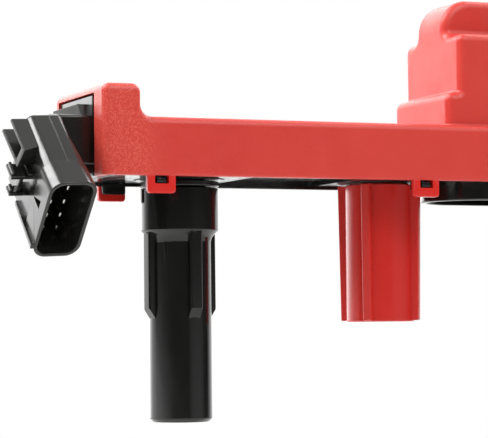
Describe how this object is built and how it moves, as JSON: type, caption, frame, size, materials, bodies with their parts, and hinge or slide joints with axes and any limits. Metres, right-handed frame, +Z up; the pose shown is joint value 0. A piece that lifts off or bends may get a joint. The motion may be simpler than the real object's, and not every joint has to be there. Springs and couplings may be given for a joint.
{
  "type": "direct ignition cassette",
  "caption": "Long red ignition coil cassette with a raised hump, black plug boots on coil towers below, ribbed bolt pillars and an angled black connector at one end.",
  "frame": {"origin": "midway between the two mounting pillars, on the plane of their feet", "axes": "+X along the row of plug boots, away from the connector; +Z up, away from the engine; the connector's mouth faces -Y"},
  "size_m": [0.3894, 0.0507, 0.1123],
  "materials": {
    "red_housing": "fine moulded texture",
    "red_pillar": "smooth moulded",
    "black_plastic": "smooth moulded",
    "black_rubber": "smooth moulded",
    "tower_plastic": "smooth moulded",
    "steel": "zinc plated",
    "brass": "turned",
    "tinned_contact": "tinned",
    "copper_winding": "enamelled winding",
    "ferrite": "sintered",
    "iron_core": "laminated",
    "circuit_board": "solder mask",
    "capacitor_case": "moulded case"
  },
  "bodies": {
    "cassette": {"top_cover": "red_housing", "base_plate": "black_plastic", "connector_body": "black_plastic", "mounting_pillar_left": "red_pillar", "mounting_pillar_right": "red_pillar", "bolt_sleeve_left": "steel", "bolt_sleeve_right": "steel", "circuit_board": "circuit_board", "lead_ribbon": "tinned_contact", "transformer_core": "ferrite", "transformer_winding": "copper_winding", "storage_capacitor": "capacitor_case", "power_module": "black_plastic", "connector_pin_1": "tinned_contact", "connector_pin_2": "tinned_contact", "connector_pin_3": "tinned_contact", "connector_pin_4": "tinned_contact", "connector_pin_5": "tinned_contact", "connector_pin_6": "tinned_contact", "connector_pin_7": "tinned_contact", "connector_pin_8": "tinned_contact", "connector_pin_9": "tinned_contact", "connector_pin_10": "tinned_contact", "coil_tower_1": "tower_plastic", "coil_lid_1": "black_plastic", "coil_core_1": "iron_core", "primary_winding_1": "copper_winding", "secondary_winding_1": "copper_winding", "high_tension_terminal_1": "brass", "contact_spring_1": "steel", "coil_tower_2": "tower_plastic", "coil_lid_2": "black_plastic", "coil_core_2": "iron_core", "primary_winding_2": "copper_winding", "secondary_winding_2": "copper_winding", "high_tension_terminal_2": "brass", "contact_spring_2": "steel", "coil_tower_3": "tower_plastic", "coil_lid_3": "black_plastic", "coil_core_3": "iron_core", "primary_winding_3": "copper_winding", "secondary_winding_3": "copper_winding", "high_tension_terminal_3": "brass", "contact_spring_3": "steel", "coil_tower_4": "tower_plastic", "coil_lid_4": "black_plastic", "coil_core_4": "iron_core", "primary_winding_4": "copper_winding", "secondary_winding_4": "copper_winding", "high_tension_terminal_4": "brass", "contact_spring_4": "steel"},
    "boot_1": {"plug_boot_1": "black_rubber"},
    "contact_1": {"contact_cap_1": "brass"},
    "boot_2": {"plug_boot_2": "black_rubber"},
    "contact_2": {"contact_cap_2": "brass"},
    "boot_3": {"plug_boot_3": "black_rubber"},
    "contact_3": {"contact_cap_3": "brass"},
    "boot_4": {"plug_boot_4": "black_rubber"},
    "contact_4": {"contact_cap_4": "brass"}
  },
  "joints": [
    {"name": "contact_1_slide", "type": "slide", "parent": "cassette", "child": "contact_1", "axis": [0, 0, 1], "range_m": [0, 0.004], "stiffness_N_per_m": 800, "deforming": ["contact_spring_1"]},
    {"name": "contact_2_slide", "type": "slide", "parent": "cassette", "child": "contact_2", "axis": [0, 0, 1], "range_m": [0, 0.004], "stiffness_N_per_m": 800, "deforming": ["contact_spring_2"]},
    {"name": "contact_3_slide", "type": "slide", "parent": "cassette", "child": "contact_3", "axis": [0, 0, 1], "range_m": [0, 0.004], "stiffness_N_per_m": 800, "deforming": ["contact_spring_3"]},
    {"name": "contact_4_slide", "type": "slide", "parent": "cassette", "child": "contact_4", "axis": [0, 0, 1], "range_m": [0, 0.004], "stiffness_N_per_m": 800, "deforming": ["contact_spring_4"]},
    {"name": "boot_1_slide", "type": "slide", "parent": "cassette", "child": "boot_1", "axis": [0, 0, -1], "range_m": [0, 0.065]},
    {"name": "boot_2_slide", "type": "slide", "parent": "cassette", "child": "boot_2", "axis": [0, 0, -1], "range_m": [0, 0.065]},
    {"name": "boot_3_slide", "type": "slide", "parent": "cassette", "child": "boot_3", "axis": [0, 0, -1], "range_m": [0, 0.065]},
    {"name": "boot_4_slide", "type": "slide", "parent": "cassette", "child": "boot_4", "axis": [0, 0, -1], "range_m": [0, 0.065]}
  ]
}
